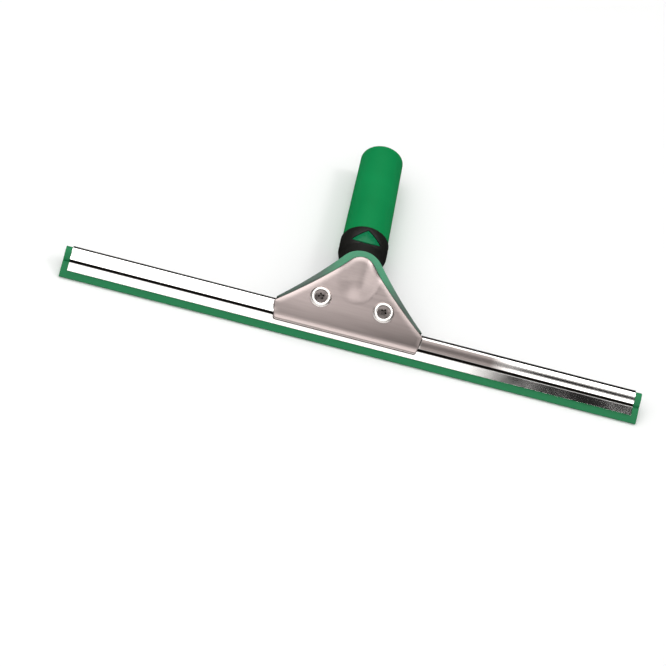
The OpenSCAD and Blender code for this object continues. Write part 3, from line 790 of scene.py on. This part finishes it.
# %% Washers
PLATE_FRONT = 6.15
SCREW_GAP, SCREW_U, WASHER_R = 38.8, 20.8, 6.5
washer_outline = [(2.75, 0.05), (2.8, 0), (WASHER_R - 0.1, 0), (WASHER_R, 0.1), (WASHER_R, 0.4)]
washer_outline += arc((WASHER_R - 1.35, 1.2), 0.5, 25, 90, 6)
washer_outline += arc((4.55, 1.4), 0.3, 90, 180, 6)
washer_outline += [(4.25, 1.0), (4.05, 0.8), (2.8, 0.8), (2.75, 0.75)]
mesh = grow(lathe, outline(washer_outline), Steps=72, Copies=2, Spacing=SCREW_GAP,
            Material=zinc_steel)
print("washers' heights:", round(min(v.co.z for v in mesh.vertices), 2),
      round(max(v.co.z for v in mesh.vertices), 2))


# %% Notches
def box_mesh(name, boxes):
    """Several boxes in one mesh, each given by its low and high corners, to cut with."""
    work = bmesh.new()
    for low, high in boxes:
        sizes = [b - a for a, b in zip(low, high)]
        centre = [(a + b) / 2 for a, b in zip(low, high)]
        spot = Matrix.Translation(centre) @ Matrix.Diagonal((*sizes, 1))
        bmesh.ops.create_cube(work, size=1, matrix=spot)
    made = bpy.data.meshes.new(name)
    work.to_mesh(made)
    work.free()
    return made


def cut(mesh, cutter):
    """The mesh less the cutter, both closed, as a new mesh."""
    part = bpy.data.objects.new("part", mesh)
    tool = bpy.data.objects.new("tool", cutter)
    for thing in (part, tool):
        scene.collection.objects.link(thing)
    modifier = part.modifiers.new("cut", "BOOLEAN")
    modifier.object, modifier.operation, modifier.solver = tool, "DIFFERENCE", "EXACT"
    made = bpy.data.meshes.new_from_object(part.evaluated_get(
        bpy.context.evaluated_depsgraph_get()))
    bpy.data.objects.remove(part)
    bpy.data.objects.remove(tool)
    return made


notches = [((s * SCREW_GAP / 2 - 0.5, WASHER_R - 1.1, -1), (s * SCREW_GAP / 2 + 0.5, 9, 4))
           for s in (-1, 1)]
mesh = cut(mesh, box_mesh("notches", notches))
ON_PLATE = HEAD @ Matrix.Translation((0, SCREW_U, PLATE_FRONT))
settle("cup_washers", mesh, ON_PLATE, zinc_steel, "jaw",
       ["washer_left", "washer_right"])

# %% [markdown]
# ## Clamp screws
# Machine screws with raised heads and a cross recess. The head and the shank are turned by the
# lathe rule; the thread is a helix, which needs a rule of its own.

# %% Head and shank
HEAD_SEAT = PLATE_FRONT + 0.85
HEAD_R, HEAD_H, RISE, SCREW_LEN = 3.9, 1.6, 0.7, 16.0
ROOT_R, SHANK_R = 2.1, 2.45
DOME_R = (HEAD_R ** 2 + RISE ** 2) / (2 * RISE)
lean = math.degrees(math.asin(HEAD_R / DOME_R))
screw_outline = [(0, -SCREW_LEN), (1.5, -SCREW_LEN), (ROOT_R, -SCREW_LEN + 0.6), (ROOT_R, -1.6),
                 (SHANK_R, -1.2), (SHANK_R, 0), (HEAD_R - 0.15, 0), (HEAD_R, 0.15)]
screw_outline += arc((0, HEAD_H - DOME_R), DOME_R, 90 - lean, 90, 14)
screw_outline[-1] = (0, HEAD_H)

# %% [markdown]
# ## Rule 3: wind a section along a helix
# A spiral curve with equal start and end radii is a helix. The same tree winds the screw threads
# and the latch spring; only its sizes differ.

# %% The helix
helix, given = new_rule("section_along_a_helix", Turns=4.0, Radius=1.0, Height=1.0, Wire=0.2,
                        Fineness=24)
coil = add(helix, "GeometryNodeCurveSpiral", {"Resolution": given["Fineness"],
           "Rotations": given["Turns"], "Start Radius": given["Radius"],
           "End Radius": given["Radius"], "Height": given["Height"]})
wire = add(helix, "GeometryNodeCurvePrimitiveCircle", {"Resolution": 8, "Radius": given["Wire"]})
wound = add(helix, "GeometryNodeCurveToMesh", {"Curve": coil.outputs["Curve"],
            "Profile Curve": wire.outputs["Curve"], "Fill Caps": True})
end_rule(helix, given, wound.outputs["Mesh"])

# %% Threads, recesses and the two screws
PITCH, WIRE, THREAD_R = 0.8, 0.33, 2.15
THREAD_LEN = SCREW_LEN - 4.2
RECESS_DEEP = 1.2


def slot_cutter(turn_deg):
    """A wedge that narrows downwards: one arm of the punch that makes a cross recess."""
    work = bmesh.new()
    corners = []
    for a, b, z in ((1.1, 0.32, HEAD_H - RECESS_DEEP), (2.2, 0.55, HEAD_H + 0.2)):
        corners += [(-a, -b, z), (a, -b, z), (a, b, z), (-a, b, z)]
    spin = Matrix.Rotation(math.radians(turn_deg), 4, "Z")
    v = [work.verts.new(spin @ Vector(c)) for c in corners]
    for face in ((3, 2, 1, 0), (4, 5, 6, 7), (0, 1, 5, 4), (1, 2, 6, 5), (2, 3, 7, 6),
                 (3, 0, 4, 7)):
        work.faces.new([v[i] for i in face])
    made = bpy.data.meshes.new("slot")
    work.to_mesh(made)
    work.free()
    return made


def join(first_mesh, second_mesh):
    """Two closed meshes in one."""
    work = bmesh.new()
    work.from_mesh(first_mesh)
    work.from_mesh(second_mesh)
    made = bpy.data.meshes.new("joined")
    work.to_mesh(made)
    work.free()
    return made


for side_name, side_x, turn_deg in (("left", -1, 20), ("right", 1, 62)):
    blank = grow(lathe, outline(screw_outline, closed=False), Steps=64, Material=screw_steel)
    recessed = cut(cut(blank, slot_cutter(turn_deg)), slot_cutter(turn_deg + 90))
    thread = grow(helix, outline([(0, 0), (1, 0)], closed=False), Turns=THREAD_LEN / PITCH,
                  Radius=THREAD_R, Height=THREAD_LEN, Wire=WIRE, Fineness=28,
                  Material=screw_steel)
    thread.transform(Matrix.Translation((0, 0, -SCREW_LEN + 1.1)))
    spot = HEAD @ Matrix.Translation((side_x * SCREW_GAP / 2, SCREW_U, HEAD_SEAT))
    settle(f"clamp_screw_{side_name}", join(recessed, thread), spot, screw_steel,
           f"{side_name}_screw", [f"screw_{side_name}"])

# %% [markdown]
# ## Latch spring
# A small coil under the latch ring pushes the button back up, and shortens when the button is
# pressed. Here it is drawn at rest and rides on the handle.

# %% Spring
SPRING_R, SPRING_WIRE = 1.35, 0.2
spring_low, spring_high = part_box("latch_spring")
centre = (spring_low + spring_high) / 2 / MM
tall = (spring_high.z - spring_low.z) / MM - 2 * SPRING_WIRE
mesh = grow(helix, outline([(0, 0), (1, 0)], closed=False), Turns=4.0, Radius=SPRING_R,
            Height=tall, Wire=SPRING_WIRE, Fineness=28, Material=screw_steel)
spot = place(centre.x, centre.y, spring_low.z / MM + SPRING_WIRE)
spring = settle("latch_coil_spring", mesh, spot, screw_steel, "handle", ["latch_spring"])
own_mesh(spring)

# %% [markdown]
# ## Pressed plate
# The front jaw is one pressing from 1.5 mm sheet: a triangle with hollow flanks, a long dome for
# stiffness that runs out over the apex, a rim that is dished and rolled down all round, and a
# foot that turns in over the channel's skirts. It is drawn as a height over its flat outline,
# because a press shapes sheet in just that way: every point moves up or down.

# %% The plate's outline
JAW_W, JAW_H, WING_H, FOOT, APEX_R, FLANK_R, TAPER, CORNER = 92.8, 50.8, 12.1, 1.3, 10, 320, 1.8, 2
APEX = Vector((0, JAW_H - APEX_R))
wing = Vector((JAW_W / 2, WING_H))
gap = (wing - APEX).length
along = ((FLANK_R + APEX_R) ** 2 - FLANK_R ** 2 + gap ** 2) / (2 * gap)
aim = (wing - APEX) / gap
off = math.sqrt((FLANK_R + APEX_R) ** 2 - along ** 2)
flank_c = APEX + along * aim + off * Vector((-aim.y, aim.x))


def heading(a, b):
    """The direction from a to b, in degrees."""
    return math.degrees(math.atan2(b[1] - a[1], b[0] - a[0]))


low_x = JAW_W / 2 - TAPER
touch = heading(APEX, flank_c)
flank_from, flank_to = heading(flank_c, wing) % 360, (touch + 180) % 360
right_side = [(x * (low_x - CORNER) / 60, FOOT) for x in range(0, 60)]
right_side += arc((low_x - CORNER, FOOT + CORNER), CORNER, -90, 0, 8)
right_side += [(low_x + TAPER * t, FOOT + CORNER + (WING_H - FOOT - CORNER) * t)
               for t in (0.1, 0.2, 0.3, 0.4, 0.5, 0.6, 0.7, 0.8, 0.88)]
flank = arc(flank_c, FLANK_R, flank_from, flank_to, 64)
start, bend, end = Vector(right_side[-1]), wing, Vector(flank[2])
right_side += [tuple((1 - t) ** 2 * start + 2 * t * (1 - t) * bend + t * t * end)
               for t in (0.2, 0.4, 0.6, 0.8)]
right_side += flank[2:-1] + arc(APEX, APEX_R, touch, 90, 16)
edge_line = right_side + [(-x, u) for x, u in reversed(right_side[1:-1])]
print(len(edge_line), "points round the plate; flank meets the apex at", round(touch, 1), "deg")

# %% Points over the outline
ROLL, HOLE_R = 0.6, 2.75
STEP, ROW_RISE = 0.8, 0.866
RING_DEPTHS = (0.07, 0.2, 0.4, 0.62, 0.85, 1.15)
FAR_IN = 9.0
edge_points = [Vector(p) for p in edge_line]


def inward(i):
    """The unit direction into the plate at one point of its outline."""
    t = edge_points[(i + 1) % len(edge_points)] - edge_points[i - 1]
    return Vector((-t.y, t.x)).normalized()


def edge_distance(p):
    """How far a flat point is inside the outline."""
    best = 1e9
    for a, b in zip(edge_points, edge_points[1:] + edge_points[:1]):
        run = b - a
        t = max(0, min(1, (p - a).dot(run) / run.length_squared))
        best = min(best, (p - a - t * run).length_squared)
    return math.sqrt(best)


def inside(p):
    """Whether a flat point is within the outline, by counting crossings."""
    odd = False
    for a, b in zip(edge_points, edge_points[1:] + edge_points[:1]):
        if (a.y > p.y) != (b.y > p.y) and p.x < a.x + (p.y - a.y) * (b.x - a.x) / (b.y - a.y):
            odd = not odd
    return odd


holes = [Vector((s * SCREW_GAP / 2, SCREW_U)) for s in (-1, 1)]
flat, depth = list(edge_points), [0.0] * len(edge_points)
for ring_depth in RING_DEPTHS:
    for i in range(len(edge_points)):
        p = edge_points[i] + ring_depth * inward(i)
        if edge_distance(p) > 0.93 * ring_depth:
            flat.append(p)
            depth.append(ring_depth)
hole_loops = []
for c in holes:
    loop = [c + Vector(p) for p in arc((0, 0), HOLE_R, 0, 345, 23)]
    hole_loops.append(range(len(flat), len(flat) + len(loop)))
    flat += loop
    depth += [FAR_IN] * len(loop)
for row_no in range(int(JAW_H / STEP / ROW_RISE) + 1):
    u = row_no * STEP * ROW_RISE
    for column in range(int(JAW_W / STEP) + 2):
        p = Vector((-JAW_W / 2 + (column + 0.5 * (row_no % 2)) * STEP, u))
        if min((p - c).length for c in holes) > HOLE_R + 0.4 and inside(p):
            d = edge_distance(p)
            if d > 1.5:
                flat.append(p)
                depth.append(d)
print(len(flat), "points over the plate")

# %% [markdown]
# Delaunay triangulation joins the points into the most even triangles there are. The outline and
# the two holes are given as fixed edges, and triangles outside them are dropped.

# %% Heights, and the closed plate
PLATE_BACK, THICK, FOOT_R, FOOT_START = 4.65, 1.5, 6.0, 5.0
DISH, DISH_W = 0.7, 4.2
DOME_H, DOME_HALF_W, DOME_TURNS, DOME_END = 2.5, 12.5, 35, 14.0


def dome_height(x, u):
    """The pressed dome: a long swelling with a round low end, highest past the apex."""
    climb = min(1.0, max(0.0, (u - 24) / 27))
    wide = DOME_HALF_W + 3.0 * climb
    short = max(0.0, DOME_TURNS - u) / DOME_END
    t = min(1.0, (x / wide) ** 2 + short ** 2)
    return (DOME_H + 0.8 * climb) * (1 - t) ** 1.7


def sheet_height(x, u):
    """The middle of the pressing's front face above the blade's middle plane."""
    if u < FOOT_START:
        outer_r = FOOT_R + THICK
        return PLATE_BACK - FOOT_R + math.sqrt(outer_r ** 2 - (FOOT_START - u) ** 2)
    return PLATE_FRONT + dome_height(x, u)


fixed = [(i, (i + 1) % len(edge_points)) for i in range(len(edge_points))]
for loop in hole_loops:
    fixed += [(i, i + 1) for i in loop[:-1]] + [(loop[-1], loop[0])]
points, _, triangles, origin, *_ = delaunay_2d_cdt(flat, fixed, [], 0, 1e-6)
depths = [depth[o[0]] if o else FAR_IN for o in origin]
kept = []
for t in triangles:
    middle = sum((points[i] for i in t), Vector((0, 0))) / len(t)
    if inside(middle) and min((middle - c).length for c in holes) > HOLE_R * 0.995:
        kept.append(tuple(t))

# %% Two faces and the wall between them
fronts, backs = [], []
for p, d in zip(points, depths):
    top = sheet_height(p.x, p.y)
    drop = ROLL - math.sqrt(ROLL ** 2 - (ROLL - d) ** 2) if d < ROLL else 0.0
    drop += DISH * max(0.0, 1 - d / DISH_W) ** 2 * max(0.0, min(1.0, (p.y - FOOT_START) / 3))
    fronts.append((p.x, p.y, top - drop))
    backs.append((p.x, p.y, top - THICK))
work = bmesh.new()
front_verts = [work.verts.new(v) for v in fronts]
back_verts = [work.verts.new(v) for v in backs]
for t in kept:
    work.faces.new([front_verts[i] for i in t])
    work.faces.new([back_verts[i] for i in reversed(t)])
work.verts.index_update()
count = len(front_verts)
rims = [e for e in work.edges if len(e.link_faces) == 1 and e.verts[0].index < count]
for e in rims:
    a, b = (v.index for v in e.verts)
    work.faces.new([front_verts[a], front_verts[b], back_verts[b], back_verts[a]])
for lonely in [v for v in work.verts if not v.link_faces]:
    work.verts.remove(lonely)
mesh = bpy.data.meshes.new("plate")
work.to_mesh(mesh)
work.free()
settle("pressed_plate", mesh, HEAD, satin_steel, "jaw", ["front_jaw"],
       crease=60)

# %% [markdown]
# ## Mouldings
# The core, the neck, the latch button, the pads and the nuts have exactly the right shape in the
# solid model, but its edges are knife-sharp, and no moulding's are. Each is copied, its loose
# triangles are merged into whole faces, and its edges get the small radius that a mould leaves.

# %% Soften the solid parts
def moulded(name, nodes, material, body, radius):
    """A copy of one or more solid parts with its sharp edges rounded."""
    work = bmesh.new()
    for node in nodes:
        work.from_mesh(frame["nodes"][node].data)
    bmesh.ops.remove_doubles(work, verts=work.verts, dist=2e-6)
    bmesh.ops.dissolve_limit(work, angle_limit=math.radians(0.6), verts=work.verts,
                             edges=work.edges)
    mesh = bpy.data.meshes.new(name)
    work.to_mesh(mesh)
    work.free()
    mesh.transform(Matrix.Scale(1 / MM, 4))
    soften(mesh, radius, angle=35)
    settle(name, mesh, Matrix.Scale(MM, 4), material, body, nodes, crease=30)


moulded("core_moulding", ["handle_frame"], core_plastic, "handle", 0.5)
moulded("neck_sleeve_moulding", ["neck_sleeve"], neck_elastomer, "handle",
        0.35)
moulded("latch_button_moulding", ["latch_button"], button_plastic, "latch",
        0.3)
moulded("clamp_nuts", ["nut_left", "nut_right"], zinc_steel, "handle", 0.12)
moulded("front_jaw_pad", ["front_pad"], pad_rubber, "jaw", 0.15)
moulded("rear_jaw_pad", ["rear_pad"], pad_rubber, "handle", 0.15)
